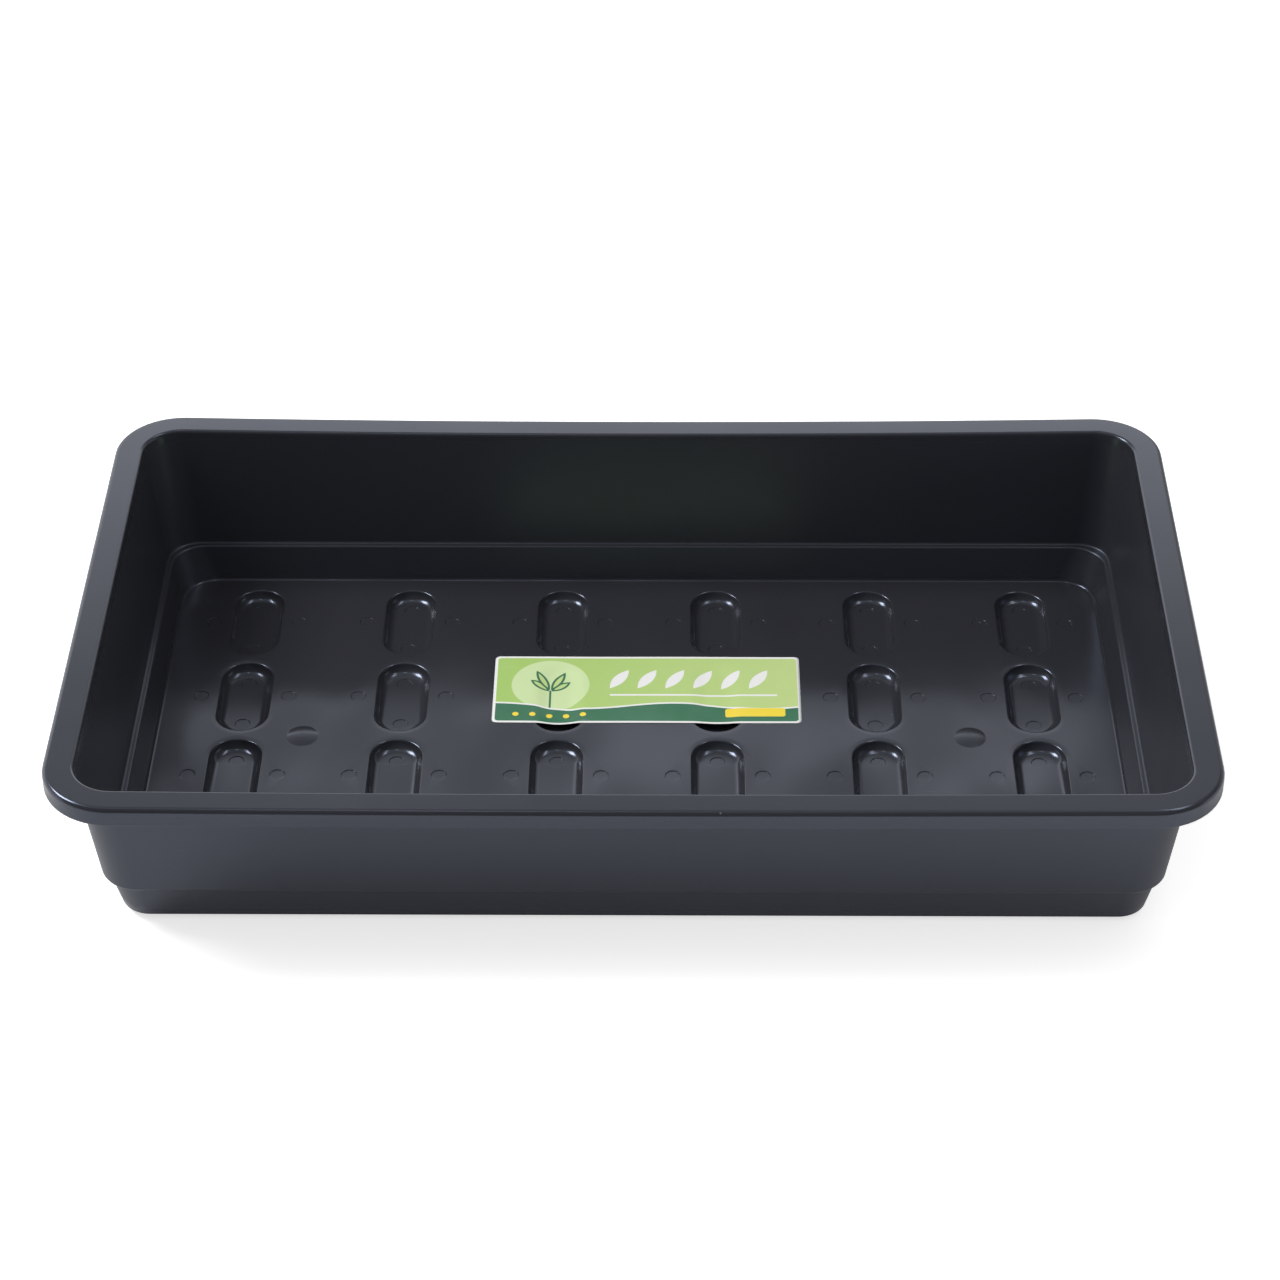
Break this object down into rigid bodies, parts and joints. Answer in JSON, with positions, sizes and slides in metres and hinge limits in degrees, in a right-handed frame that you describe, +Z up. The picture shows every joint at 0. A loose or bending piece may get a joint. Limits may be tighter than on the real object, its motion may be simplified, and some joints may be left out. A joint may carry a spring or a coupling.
{
  "type": "garden tray",
  "caption": "Rectangular open garden tray with a hollow rolled rim, stepped leaning walls, long rounded pockets that form feet, and a printed label on its floor.",
  "frame": {"origin": "under the middle of the tray, on the plane of its feet", "axes": "+X along the length, +Y across the width from the front to the back, +Z up"},
  "size_m": [0.57, 0.34, 0.0965],
  "materials": {
    "tray_plastic": "black polypropylene as it leaves the mould, satin with a soft sheen",
    "label_print": "thin printed self-adhesive label, lightly coated"
  },
  "bodies": {
    "root": {"tray": "tray_plastic", "label": "label_print"}
  },
  "joints": []
}
